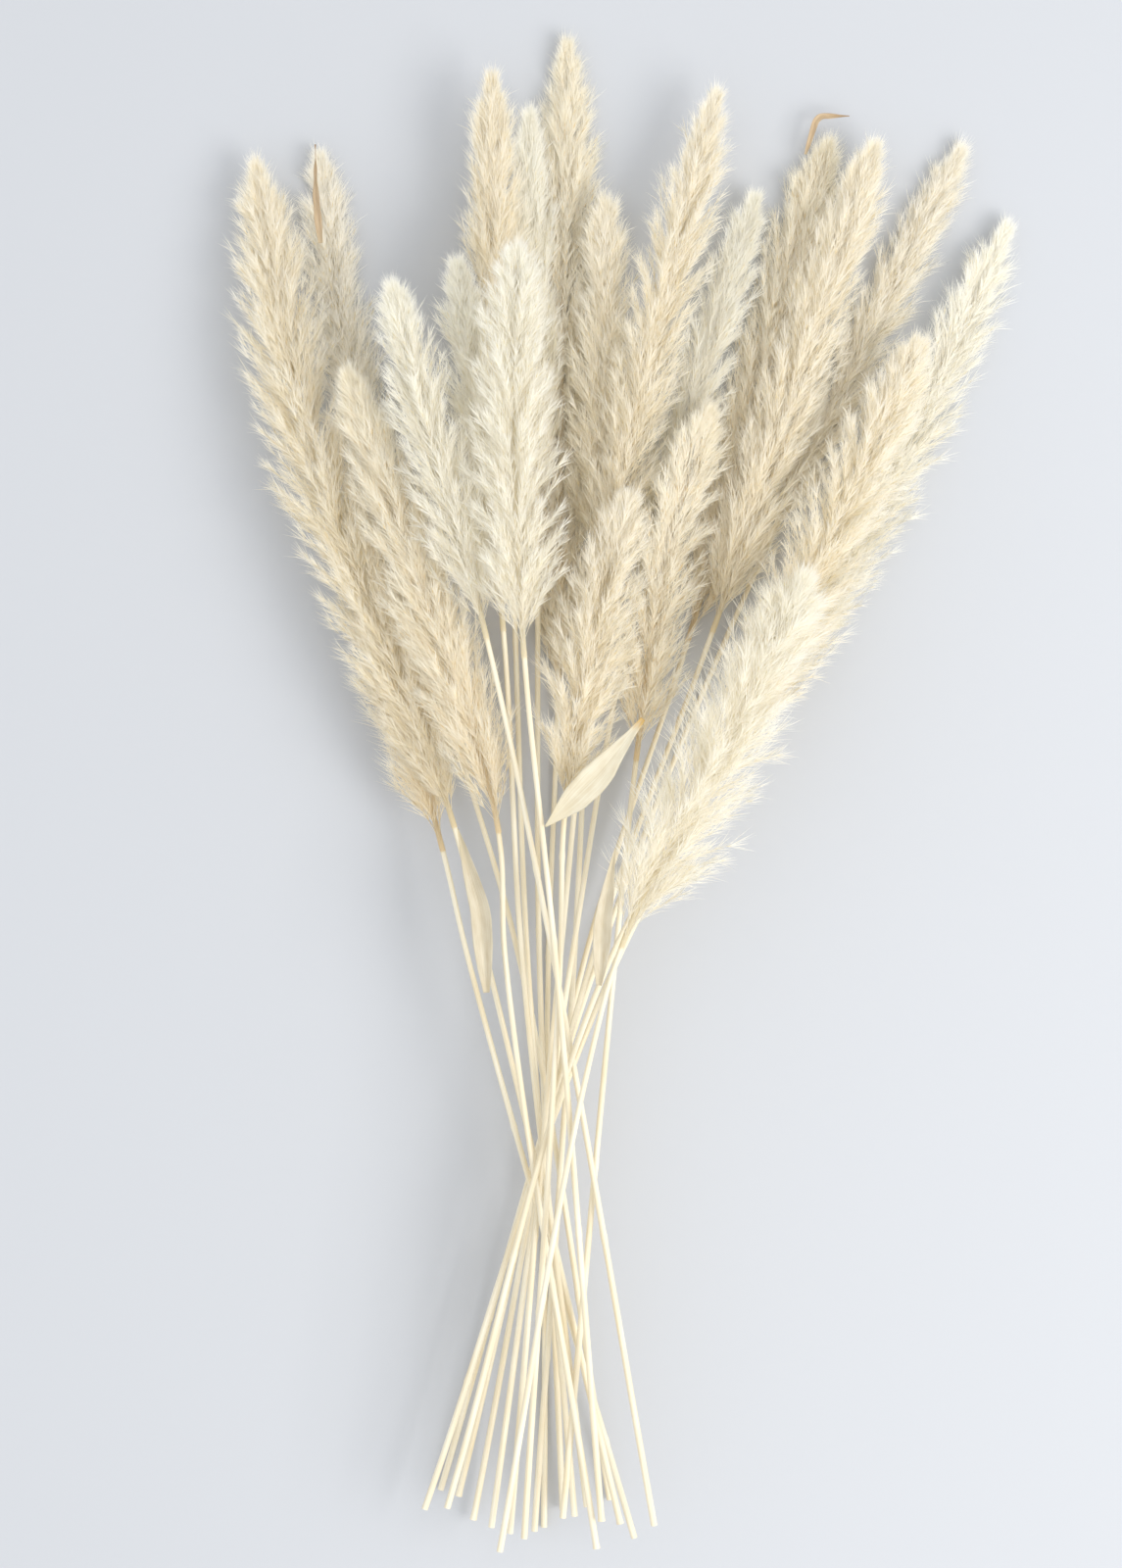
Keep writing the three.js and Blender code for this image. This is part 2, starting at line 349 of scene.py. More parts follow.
def dry_streaks() -> bpy.types.NodeTree:
    """The fine lengthwise streaks and soft blotches that every dried finish shares.

    Returns:
        The node group, made on its first use. Its inputs are the map, how many streaks and
        blotches fit across and along it, and how much each counts. Its outputs are the
        streaks, the blotches and the two together.
    """
    name = "dry_streaks"
    if name in bpy.data.node_groups:
        return bpy.data.node_groups[name]
    tree = bpy.data.node_groups.new(name, "ShaderNodeTree")
    for label, kind in (("Map", "Vector"), ("Streaks", "Vector"), ("Blotches", "Vector"),
                        ("Streak Share", "Float"), ("Blotch Share", "Float")):
        tree.interface.new_socket(name=label, in_out="INPUT", socket_type=f"NodeSocket{kind}")
    for label in ("Streak", "Blotch", "Mask"):
        tree.interface.new_socket(name=label, in_out="OUTPUT", socket_type="NodeSocketFloat")
    w = Wiring(tree)
    given = w.add("NodeGroupInput").outputs
    noises = []
    for scale, detail in (("Streaks", 3.0), ("Blotches", 2.0)):
        place = w.add("ShaderNodeMapping", {0: given["Map"], "Scale": given[scale]}).outputs[0]
        noises.append(w.add("ShaderNodeTexNoise", {"Vector": place, "Scale": 1.0,
                                                   "Detail": detail}).outputs[0])
    streak, blotch = noises
    mask = w.math("ADD", w.math("MULTIPLY", streak, given["Streak Share"]),
                  w.math("MULTIPLY", blotch, given["Blotch Share"]))
    w.add("NodeGroupOutput", {"Streak": streak, "Blotch": blotch, "Mask": mask})
    return tree


@dataclass(frozen=True)
class SilkFinish:
    """The silky hairs and husks of a plume.

    The map's first number runs from husks, below husk_share, through the hairs deep inside the plume
    to those at its outside; the darker colour deep inside is partly the hairs' own warmer tone and
    partly painted shade.
    Its second runs from a hair's root to its tip.
    """

    husk_share: ClassVar[float] = 0.16

    name: str
    husk: RGBA
    inside: RGBA
    outside: RGBA
    tip: RGBA
    roughness: float = 0.75
    sheen: float = 0.25
    glow_through: float = 0.5

    def material(self) -> bpy.types.Material:
        """Builds the material.

        Returns:
            A matt silky material that lets some light through.
        """
        material, w, place = started_material(self.name)
        across, along = w.add("ShaderNodeSeparateXYZ", {0: place}).outputs[:2]
        streaks = w.add("ShaderNodeGroup", {
            "Map": place, "Streaks": (60.0, 1.5, 1.0), "Blotches": (7.0, 3.0, 1.0),
            "Streak Share": 0.6, "Blotch Share": 0.4}, node_tree=dry_streaks())
        varied = w.math("ADD", across, w.math("MULTIPLY", w.math(
            "SUBTRACT", streaks.outputs["Mask"], 0.5), 0.35))
        # The inside colour, deep in the plume, is partly the hairs' own warmer tone and partly
        # painted shade.
        body = w.mix(w.remap(varied, self.husk_share, 1.0), self.inside, self.outside)
        paling = w.math("MULTIPLY", w.remap(along, 0.35, 1.0, smooth=True), 0.6)
        is_husk = w.math("LESS_THAN", across, self.husk_share)
        colour = w.mix(is_husk, w.mix(paling, body, self.tip), self.husk)
        surface = w.add("ShaderNodeBsdfPrincipled", {
            "Base Color": colour, "Roughness": self.roughness, "Sheen Weight": self.sheen,
            "Sheen Roughness": 0.4, "Specular IOR Level": 0.25})
        through = w.add("ShaderNodeBsdfTranslucent", {0: colour})
        mixed = w.add("ShaderNodeMixShader", {0: self.glow_through, 1: surface.outputs[0],
                                              2: through.outputs[0]})
        w.add("ShaderNodeOutputMaterial", {0: mixed.outputs[0]})
        return material


SILKS = {
    Tone.IVORY: SilkFinish("silk_ivory", husk=linear(241, 232, 206), inside=linear(251, 246, 232),
                           outside=linear(254, 253, 247), tip=linear(255, 254, 250)),
    Tone.CREAM: SilkFinish("silk_cream", husk=linear(239, 227, 196), inside=linear(250, 242, 221),
                           outside=linear(254, 251, 243), tip=linear(255, 253, 247)),
    Tone.WHEAT: SilkFinish("silk_wheat", husk=linear(238, 222, 188), inside=linear(249, 238, 212),
                           outside=linear(253, 249, 237), tip=linear(254, 251, 243)),
}


@dataclass(frozen=True)
class StrawFinish:
    """Dry straw with fine lengthwise lines and soft blotches.

    The map's first number runs once round the straw, and its second along it in metres.
    """

    name: str = "straw"
    pale: RGBA = linear(244, 238, 219)
    deep: RGBA = linear(228, 211, 174)
    roughness: float = 0.55

    def material(self) -> bpy.types.Material:
        """Builds the material.

        Returns:
            A satin straw material.
        """
        material, w, place = started_material(self.name)
        streaks = w.add("ShaderNodeGroup", {
            "Map": place, "Streaks": (18.0, 28.0, 1.0), "Blotches": (1.0, 25.0, 1.0),
            "Streak Share": 0.55, "Blotch Share": 0.6}, node_tree=dry_streaks())
        blend = w.remap(streaks.outputs["Mask"], 0.4, 0.78)
        colour = w.mix(blend, self.pale, self.deep)
        bump = w.add("ShaderNodeBump", {"Height": streaks.outputs["Streak"], "Strength": 0.35,
                                        "Distance": 0.0003})
        surface = w.add("ShaderNodeBsdfPrincipled", {
            "Base Color": colour, "Roughness": self.roughness, "Normal": bump.outputs[0]})
        w.add("ShaderNodeOutputMaterial", {0: surface.outputs[0]})
        return material


@dataclass(frozen=True)
class BladeFinish:
    """A dry leaf blade: fine veins along it, a raised midrib and a darker foot and tip.

    The map's first number runs across the blade and its second along it, both from 0 to 1.
    """

    name: str
    flat: RGBA
    vein: RGBA
    foot: RGBA
    tip: RGBA
    foot_end: float = 0.12
    tip_start: float = 0.7
    roughness: float = 0.6
    glow_through: float = 0.25

    def material(self) -> bpy.types.Material:
        """Builds the material.

        Returns:
            A dry, slightly see-through leaf material.
        """
        material, w, place = started_material(self.name)
        across, along = w.add("ShaderNodeSeparateXYZ", {0: place}).outputs[:2]
        streaks = w.add("ShaderNodeGroup", {
            "Map": place, "Streaks": (26.0, 2.0, 1.0), "Blotches": (3.0, 7.0, 1.0),
            "Streak Share": 0.7, "Blotch Share": 0.5}, node_tree=dry_streaks())
        veins, stain = streaks.outputs["Streak"], streaks.outputs["Blotch"]
        mask = w.remap(streaks.outputs["Mask"], 0.48, 0.76)
        colour = w.mix(mask, self.flat, self.vein)
        ragged = w.math("ADD", along, w.math("MULTIPLY", w.math("SUBTRACT", stain, 0.5), 0.2))
        at_foot = w.remap(ragged, 0.0, self.foot_end, 1.0, 0.0, smooth=True)
        colour = w.mix(at_foot, colour, self.foot)
        at_tip = w.remap(ragged, self.tip_start, 1.0, smooth=True)
        colour = w.mix(at_tip, colour, self.tip)
        midrib = w.remap(w.math("ABSOLUTE", w.math("SUBTRACT", across, 0.5)), 0.0, 0.05, 1.0, 0.0)
        height = w.math("ADD", veins, w.math("MULTIPLY", midrib, 0.8))
        bump = w.add("ShaderNodeBump", {"Height": height, "Strength": 0.4, "Distance": 0.0003})
        surface = w.add("ShaderNodeBsdfPrincipled", {
            "Base Color": colour, "Roughness": self.roughness, "Normal": bump.outputs[0]})
        through = w.add("ShaderNodeBsdfTranslucent", {0: colour})
        mixed = w.add("ShaderNodeMixShader", {0: self.glow_through, 1: surface.outputs[0],
                                              2: through.outputs[0]})
        w.add("ShaderNodeOutputMaterial", {0: mixed.outputs[0]})
        return material


# ---------------------------------------------------------------------------
# The plumes
# ---------------------------------------------------------------------------

@dataclass
class PlumeCourse:
    """Where a plume lies: its middle line, its sides, and its underside and top, ring by ring.

    The columns are where the CAD solid's corners stand across a ring, from -1 at the left
    side to 1 at the right.
    """

    y: np.ndarray
    x: np.ndarray
    half_width: np.ndarray
    low: np.ndarray
    high: np.ndarray
    columns: ClassVar[np.ndarray] = np.cos(np.arange(6)[::-1] * math.pi / 5)
    least_radius: ClassVar[float] = 3.0 * MM
    least_thickness: ClassVar[float] = 4.5 * MM
    sunk: ClassVar[float] = 1.5 * MM
    proud: ClassVar[float] = 4.0 * MM

    @classmethod
    def read(cls, node: str) -> "PlumeCourse":
        """Reads the course from the CAD solid's rings, which stand square to the bunch.

        Args:
            node: The CAD node's name.

        Returns:
            The course, in metres.
        """
        points = points_of(frame["nodes"][node].data)
        rings = np.unique(np.round(points[:, 1], 5))
        centres, halves, lows, highs = [], [], [], []
        for ring in rings:
            corner = points[np.abs(points[:, 1] - ring) < 2e-5]
            left, right = corner[:, 0].min(), corner[:, 0].max()
            centre, half = (left + right) / 2, (right - left) / 2
            share = (corner[:, 0] - centre) / half
            near = [corner[np.abs(share - column) < 0.15, 2] for column in cls.columns]
            centres.append(centre)
            halves.append(half)
            lows.append([heights.min() for heights in near])
            highs.append([heights.max() for heights in near])
        return cls(rings, np.array(centres), np.array(halves), np.array(lows), np.array(highs))

    def __post_init__(self) -> None:
        """Works out the smooth middle line, its length and how wide the plume is along it."""
        fine = np.linspace(self.y[0], self.y[-1], 241)
        bend = np.polynomial.Polynomial.fit(self.y, self.x, 5)
        slope = bend.deriv()(fine)
        step = fine[1] - fine[0]
        lengths = np.hypot(slope, 1.0) * step
        self.line = np.stack([bend(fine), fine], 1)
        self.distance = np.concatenate([[0.0], np.cumsum((lengths[1:] + lengths[:-1]) / 2)])
        self.ahead = np.stack([slope, np.ones_like(slope)], 1) / np.hypot(slope, 1.0)[:, None]
        self.length = float(self.distance[-1])
        widths = np.interp(fine, self.y, self.half_width)
        self.radius = widths / np.hypot(slope, 1.0)

    def skin(self, heights: np.ndarray, x: np.ndarray, y: np.ndarray) -> np.ndarray:
        """The height of the plume's underside or top at given places, sloping down beside it.

        Args:
            heights: The underside or the top, one row for each ring.
            x: Places across, in metres.
            y: Places along, in metres.

        Returns:
            The height there.
        """
        ring = np.interp(y, self.y, np.arange(self.y.size))
        first = np.clip(ring.astype(int), 0, self.y.size - 2)
        part = ring - first
        centre = self.x[first] * (1 - part) + self.x[first + 1] * part
        half = self.half_width[first] * (1 - part) + self.half_width[first + 1] * part
        share = (x - centre) / half
        column = np.interp(share, self.columns, np.arange(self.columns.size))
        left = np.clip(column.astype(int), 0, self.columns.size - 2)
        side = column - left
        near = heights[first, left] * (1 - side) + heights[first, left + 1] * side
        far = heights[first + 1, left] * (1 - side) + heights[first + 1, left + 1] * side
        beyond = np.maximum(np.abs(share) - 1.0, 0.0) * half
        return np.maximum(near * (1 - part) + far * part - 1.2 * beyond, 0.0)

    def lay(self, grown: np.ndarray) -> np.ndarray:
        """Moves points from a plume grown straight up the Y axis to where the plume lies.

        Args:
            grown: Points of the straight plume: across, along and up, in metres.

        Returns:
            The same points on the laid plume.
        """
        along = grown[:, 1]
        held = np.clip(along, 0.0, self.length)
        ahead = np.stack([np.interp(held, self.distance, self.ahead[:, k]) for k in (0, 1)], 1)
        ahead /= np.linalg.norm(ahead, axis=1)[:, None]
        middle = np.stack([np.interp(held, self.distance, self.line[:, k]) for k in (0, 1)], 1)
        plan = middle + ahead * (along - held)[:, None]
        plan[:, 0] += grown[:, 0] * ahead[:, 1]
        plan[:, 1] -= grown[:, 0] * ahead[:, 0]
        # A round plume's section, squeezed between the CAD solid's underside and top.
        radius = np.maximum(np.interp(held, self.distance, self.radius), self.least_radius)
        chord = np.sqrt(np.maximum(1.0 - (grown[:, 0] / radius) ** 2, 0.1))
        level = grown[:, 2] / radius / chord
        inside = np.clip(level, -1.0, 1.0)
        proud = np.clip((level - inside) * radius * 0.5, -self.sunk, self.proud)
        under = self.skin(self.low, plan[:, 0], plan[:, 1]) + 0.3 * MM
        over = np.maximum(self.skin(self.high, plan[:, 0], plan[:, 1]),
                          under + self.least_thickness)
        height = under + (inside + 1.0) / 2.0 * (over - under) + proud
        return np.stack([plan[:, 0], plan[:, 1], np.maximum(height, 0.1 * MM)], 1)


@dataclass(frozen=True)
class Growth:
    """How a plume's branches and hairs stand."""

    run: float
    bow: float
    spacing: float
    sprays: int
    spread: float
    hair_length: float


class Habit(Enum):
    """The ways in which the plumes have dried."""

    SLEEK = Growth(run=25.0 * MM, bow=0.6, spacing=0.5 * MM, sprays=5,
                   spread=math.radians(25.0), hair_length=10.0 * MM)
    TUFTED = Growth(run=22.0 * MM, bow=0.46, spacing=0.56 * MM, sprays=5,
                    spread=math.radians(25.0), hair_length=9.5 * MM)
    LOOSE = Growth(run=25.0 * MM, bow=0.34, spacing=0.7 * MM, sprays=6,
                   spread=math.radians(32.0), hair_length=12.0 * MM)


@dataclass
class Spray:
    """A small spray of silky hairs with a few husks at its foot, pointing up the Z axis."""

    hairs: int = 12
    husks: int = 1
    hair_length: float = 10.0 * MM
    hair_width: float = 0.25 * MM
    husk_length: float = 3.4 * MM
    husk_width: float = 0.55 * MM
    spread: float = math.radians(24.0)

    def build(self, name: str, seed: int) -> bpy.types.Object:
        """Makes the spray.

        Args:
            name: The object's name.
            seed: Fixes how its hairs stand.

        Returns:
            The object, which is in no scene.
        """
        chance = np.random.default_rng(seed)
        points: list[np.ndarray] = []
        faces: list[list[int]] = []
        along: list[float] = []
        kind: list[float] = []
        for hair in range(self.hairs):
            turn = hair * GOLDEN_ANGLE + chance.uniform(-0.4, 0.4)
            lean = self.spread * math.sqrt((hair + 0.5) / self.hairs) * chance.uniform(0.7, 1.15)
            length = self.hair_length * chance.uniform(0.62, 1.2)
            root = np.array([0.0, 0.0, chance.uniform(0.0, 3.0) * MM])
            out = np.array([math.cos(turn), math.sin(turn), 0.0])
            aim = out * math.sin(lean) + np.array([0.0, 0.0, math.cos(lean)])
            side = np.cross(aim, out)
            side = side / np.linalg.norm(side)
            roll = chance.uniform(0, math.pi)
            side = side * math.cos(roll) + np.cross(aim, side) * math.sin(roll)
            bow = out * chance.uniform(-0.05, 0.16) * length
            start = len(points)
            for share, width in ((0.0, 0.7), (0.5, 1.0)):
                centre = root + aim * length * share + bow * share * share
                points += [centre - side * width * self.hair_width / 2,
                           centre + side * width * self.hair_width / 2]
                along += [share, share]
                kind += [1.0, 1.0]
            points.append(root + aim * length + bow)
            along.append(1.0)
            kind.append(1.0)
            faces += [[start, start + 1, start + 3, start + 2], [start + 2, start + 3, start + 4]]
        for husk in range(self.husks):
            turn = husk * 2.4 + chance.uniform(0, 1)
            out = np.array([math.cos(turn), math.sin(turn), 0.0])
            side = np.array([-math.sin(turn), math.cos(turn), 0.0])
            base = np.array([0.0, 0.0, chance.uniform(0.2, 2.5) * MM])
            aim = (out * 0.3 + np.array([0.0, 0.0, 1.0])) * self.husk_length
            start = len(points)
            points += [base, base + aim * 0.45 - side * self.husk_width / 2,
                       base + aim * 0.45 + side * self.husk_width / 2 + out * 0.1 * MM, base + aim]
            along += [0.0, 0.45, 0.45, 1.0]
            kind += [0.0, 0.0, 0.0, 0.0]
            faces += [[start, start + 2, start + 1], [start + 1, start + 2, start + 3]]
        mesh = bpy.data.meshes.new(name)
        mesh.from_pydata([tuple(point) for point in points], [], faces)
        mesh.attributes.new("along", "FLOAT", "POINT").data.foreach_set("value", along)
        mesh.attributes.new("kind", "FLOAT", "POINT").data.foreach_set("value", kind)
        return bpy.data.objects.new(name, mesh)


@dataclass
class PlumeGrowth:
    """The tree that grows a straight plume up the Y axis: a rachis, branches round it, and sprays."""

    variants: int = 4
    bare_top: float = 15.0 * MM
    hair_reach: float = 5.0 * MM
    inner_share: float = 0.3
    twig_radius: float = 0.16 * MM
    rachis_foot: float = 1.2 * MM
    rachis_tip: float = 0.3 * MM
    rachis_below: float = 3.0 * MM

    def __post_init__(self) -> None:
        """Builds the sprays and the tree once, for all the plumes."""
        self.sprays = {}
        for habit in Habit:
            group = bpy.data.collections.new(f"sprays_{habit.name.lower()}")
            spray = Spray(spread=habit.value.spread, hair_length=habit.value.hair_length)
            for number in range(self.variants):
                group.objects.link(spray.build(f"{group.name}_{number}", 40 + number))
            self.sprays[habit] = group
        self.tree, self.identifiers = geometry_tree("plume_growth", {
            "Length": "NodeSocketFloat", "Half Width": "NodeSocketFloat",
            "Branches": "NodeSocketInt", "Sprays": "NodeSocketInt", "Branch Run": "NodeSocketFloat",
            "Bow": "NodeSocketFloat", "Blunt": "NodeSocketFloat", "Seed": "NodeSocketInt",
            "Spray": "NodeSocketCollection", "Finish": "NodeSocketMaterial"})
        self.wire()

    def wire(self) -> None:
        """Puts the nodes in the tree."""
        w = Wiring(self.tree)
        given = w.add("NodeGroupInput").outputs
        index = w.add("GeometryNodeInputIndex").outputs[0]
        length, half_width, seed = given["Length"], given["Half Width"], given["Seed"]

        # One point on the rachis for each branch, closer together towards the tip.
        last = w.math("SUBTRACT", length, self.bare_top)
        even = w.math("DIVIDE", index, given["Branches"])
        share = w.math("SUBTRACT", 1.0, w.math("POWER", w.math("SUBTRACT", 1.0, even), 1.1))
        roots = w.add("GeometryNodeMeshLine", {"Count": given["Branches"]}, mode="OFFSET")
        place = w.add("ShaderNodeCombineXYZ", {1: w.math("MULTIPLY", share, last)}).outputs[0]
        roots = w.add("GeometryNodeSetPosition", {"Geometry": roots.outputs[0],
                                                  "Position": place}).outputs[0]
        # How far up the branch runs, and how wide the plume is where its hairs end.
        run = w.math("MULTIPLY", given["Branch Run"], w.random(0.8, 1.2, seed, index))
        run = w.math("MULTIPLY", run, w.remap(share, 0.72, 1.0, 1.0, 0.32))
        end = w.math("DIVIDE", w.math("ADD", w.math("MULTIPLY", share, last), w.math(
            "ADD", run, self.hair_reach)), length)
        opening = w.remap(end, -0.06, 0.24, smooth=True)
        closing = w.math("POWER", w.math("SUBTRACT", 1.0, w.math(
            "POWER", w.math("MINIMUM", end, 0.99), given["Blunt"])), 0.75)
        envelope = w.math("MULTIPLY", half_width, w.math("MULTIPLY", opening, closing))
        inner = w.math("LESS_THAN", w.random(0.0, 1.0, seed, w.math("ADD", index, 4000.0)),
                       self.inner_share)
        outer = w.random(0.72, 1.08, seed, w.math("ADD", index, 5000.0))
        own_reach = w.math("MULTIPLY", outer, w.math("SUBTRACT", 1.0, w.math(
            "MULTIPLY", inner, 0.4)))
        reach = w.math("MAXIMUM", w.math("SUBTRACT", w.math("MULTIPLY", envelope, own_reach),
                                         1.4 * MM), 1.2 * MM)
        turn = w.math("ADD", w.math("MULTIPLY", index, GOLDEN_ANGLE),
                      w.random(-0.5, 0.5, seed, w.math("ADD", index, 9000.0)))
        spin = w.add("FunctionNodeEulerToRotation", {
            0: w.add("ShaderNodeCombineXYZ", {1: turn}).outputs[0]}).outputs[0]
        size = w.add("ShaderNodeCombineXYZ", {0: 1.0, 1: run, 2: reach}).outputs[0]
        roots = w.stored(roots, "branch", w.random(0.0, 1.0, seed, w.math("ADD", index, 7000.0)))
        bow = w.add("ShaderNodeCombineXYZ", {1: 0.55, 2: given["Bow"]}).outputs[0]
        arc = w.add("GeometryNodeCurveQuadraticBezier", {
            "Resolution": 10, "Start": (0, 0, 0), "Middle": bow, "End": (0, 1, 1)})
        branches = w.add("GeometryNodeInstanceOnPoints", {
            "Points": roots, "Instance": arc.outputs[0], "Rotation": spin, "Scale": size})
        branches = w.add("GeometryNodeRealizeInstances", {0: branches.outputs[0]}).outputs[0]
        bearing = w.add("GeometryNodeTrimCurve", {0: branches}, mode="FACTOR")
        next(s for s in bearing.inputs if s.name == "Start" and s.enabled).default_value = 0.3

        # Sprays along the outer part of each branch, turned along it.
        spots = w.add("GeometryNodeCurveToPoints", {"Curve": bearing.outputs[0],
                                                    "Count": given["Sprays"]}, mode="COUNT")
        turned = w.add("FunctionNodeAlignRotationToVector", {
            "Vector": spots.outputs["Tangent"]}, axis="Z").outputs[0]
        roll = w.add("FunctionNodeAxisAngleToRotation", {
            "Axis": (0, 0, 1), "Angle": w.random(0.0, 2 * math.pi, seed, index)}).outputs[0]
        turned = w.add("FunctionNodeRotateRotation", {0: turned, 1: roll},
                       rotation_space="LOCAL").outputs[0]
        outward = w.math("DIVIDE", w.math("MODULO", index, given["Sprays"]), given["Sprays"])
        points = w.stored(spots.outputs["Points"], "outward", outward)
        points = w.stored(points, "own", w.random(0.0, 1.0, seed, w.math("ADD", index, 3000.0)))
        slimmer = w.math("DIVIDE", w.add("ShaderNodeSeparateXYZ", {
            0: w.add("GeometryNodeInputPosition").outputs[0]}).outputs[1], length)
        scale = w.math("MULTIPLY", w.random(0.75, 1.15, seed, w.math("ADD", index, 100.0)),
                       w.remap(slimmer, 0.86, 1.0, 1.0, 0.7))
        chosen = w.add("GeometryNodeCollectionInfo", {
            "Collection": given["Spray"], "Separate Children": True, "Reset Children": True})
        sprays = w.add("GeometryNodeInstanceOnPoints", {
            "Points": points, "Instance": chosen.outputs[0], "Pick Instance": True,
            "Instance Index": index, "Rotation": turned, "Scale": scale})
        sprays = w.add("GeometryNodeRealizeInstances", {0: sprays.outputs[0]}).outputs[0]

        # The rachis and the branches themselves, as thin straws.
        thin = w.add("GeometryNodeCurvePrimitiveCircle", {"Resolution": 3,
                                                            "Radius": self.twig_radius})
        twigs = w.add("GeometryNodeCurveToMesh", {0: w.add(
            "GeometryNodeResampleCurve", {"Curve": branches, "Count": 3}).outputs[0],
            1: thin.outputs[0]}).outputs[0]
        top = w.add("ShaderNodeCombineXYZ", {1: w.math("MULTIPLY", length, 0.96)}).outputs[0]
        spine = w.add("GeometryNodeCurvePrimitiveLine", {"Start": (0, -self.rachis_below, 0),
                                                         "End": top})
        spine = w.add("GeometryNodeResampleCurve", {"Curve": spine.outputs[0], "Count": 48})
        factor = w.add("GeometryNodeSplineParameter").outputs[0]
        taper = w.remap(factor, 0.0, 1.0, self.rachis_foot, self.rachis_tip)
        spine = w.add("GeometryNodeSetCurveRadius", {"Curve": spine.outputs[0], "Radius": taper})
        ring = w.add("GeometryNodeCurvePrimitiveCircle", {"Resolution": 8, "Radius": 1.0})
        radius = w.add("GeometryNodeInputRadius").outputs[0]
        rachis = w.add("GeometryNodeCurveToMesh", {
            0: spine.outputs[0], 1: ring.outputs[0], "Scale": radius, "Fill Caps": True})
        whole = w.add("GeometryNodeJoinGeometry")
        for part in (rachis.outputs[0], w.stored(twigs, "kind", 1.0), sprays):
            self.tree.links.new(part, whole.inputs[0])
        done = w.add("GeometryNodeRealizeInstances", {0: whole.outputs[0]}).outputs[0]
        done = w.add("GeometryNodeSetMaterial", {0: done, "Material": given["Finish"]}).outputs[0]
        w.add("NodeGroupOutput", {0: done})

    def grow(self, course: PlumeCourse, habit: Habit, blunt: float, seed: int,
             finish: bpy.types.Material) -> bpy.types.Mesh:
        """Grows one straight plume to fit a course.

        Args:
            course: Where the plume will lie.
            habit: How its branches and hairs stand.
            blunt: How full its tip is: higher for fuller.
            seed: Fixes its random turns.
            finish: Its material.

        Returns:
            The plume's mesh, straight up the Y axis.
        """
        seat = bpy.data.objects.new("seat", bpy.data.meshes.new("seat"))
        growth = habit.value
        return grown_mesh(seat, self.tree, self.identifiers, {
            "Length": course.length, "Half Width": float(course.radius.max()),
            "Branches": int(course.length / growth.spacing), "Sprays": growth.sprays,
            "Branch Run": growth.run, "Bow": growth.bow, "Blunt": blunt,
            "Seed": seed, "Spray": self.sprays[habit], "Finish": finish})


@dataclass
class Plume:
    """One plume: grown straight, then laid along its course."""

    number: int
    growth: PlumeGrowth
    habit: Habit
    blunt: float
    # How far the plume's tone shifts; a negative shift is painted light on a plume that lies in the
    # shade of others.
    age: float
    tone: Tone
    finish: bpy.types.Material

    @property
    def node(self) -> str:
        """The CAD node that the plume stands for."""
        return f"plume_{self.number:02d}"

    def build(self) -> bpy.types.Object:
        """Makes the plume.

        Returns:
            The finished piece.
        """
        course = PlumeCourse.read(self.node)
        mesh = self.growth.grow(course, self.habit, self.blunt, self.number, self.finish)
        grown = points_of(mesh)
        mesh.vertices.foreach_set("co", course.lay(grown).astype(np.float32).ravel())
        self.map_tones(mesh, grown[:, 1] / course.length)
        for name in ("along", "kind", "branch", "outward", "own"):
            if name in mesh.attributes:
                mesh.attributes.remove(mesh.attributes[name])
        mesh.update()
        return finished_piece(f"{self.node}_silk", mesh, self.tone.value, self.node)

    def map_tones(self, mesh: bpy.types.Mesh, upward: np.ndarray) -> None:
        """Lays the map that says how pale each hair is, and how far along it each point is.

        Args:
            mesh: The grown plume.
            upward: How far up the plume each point is, from 0 to 1.
        """
        kind, along = numbers_of(mesh, "kind"), numbers_of(mesh, "along")
        outward, own = numbers_of(mesh, "outward"), numbers_of(mesh, "own")
        branch = numbers_of(mesh, "branch")
        # Hairs are paler further out along a branch and further up the plume. The darker hairs near
        # the rachis, deep inside the plume, are partly their own warmer tone and partly painted
        # shade.
        # The tone shift is taken off the paleness; a negative shift is painted light on a plume that
        # lies in the shade of others.
        pale = np.clip(0.45 * outward + 0.25 * branch + 0.2 * own
                       + 0.4 * (upward - 0.35) - self.age, 0.0, 1.0)
        husks = SilkFinish.husk_share
        hair = husks + (1.0 - husks) * (0.03 + 0.92 * pale)
        across = np.where(kind > 0.5, hair, 0.02 + 0.1 * own)
        corner = corner_points(mesh)
        # A face needs some width on the map, so its corners spread a little.
        jitter = 0.008 * (np.arange(corner.size) % 2)
        lay_map(mesh, across[corner] + jitter, np.clip(along[corner], 0.0, 1.0))


# ---------------------------------------------------------------------------
# The stems
# ---------------------------------------------------------------------------

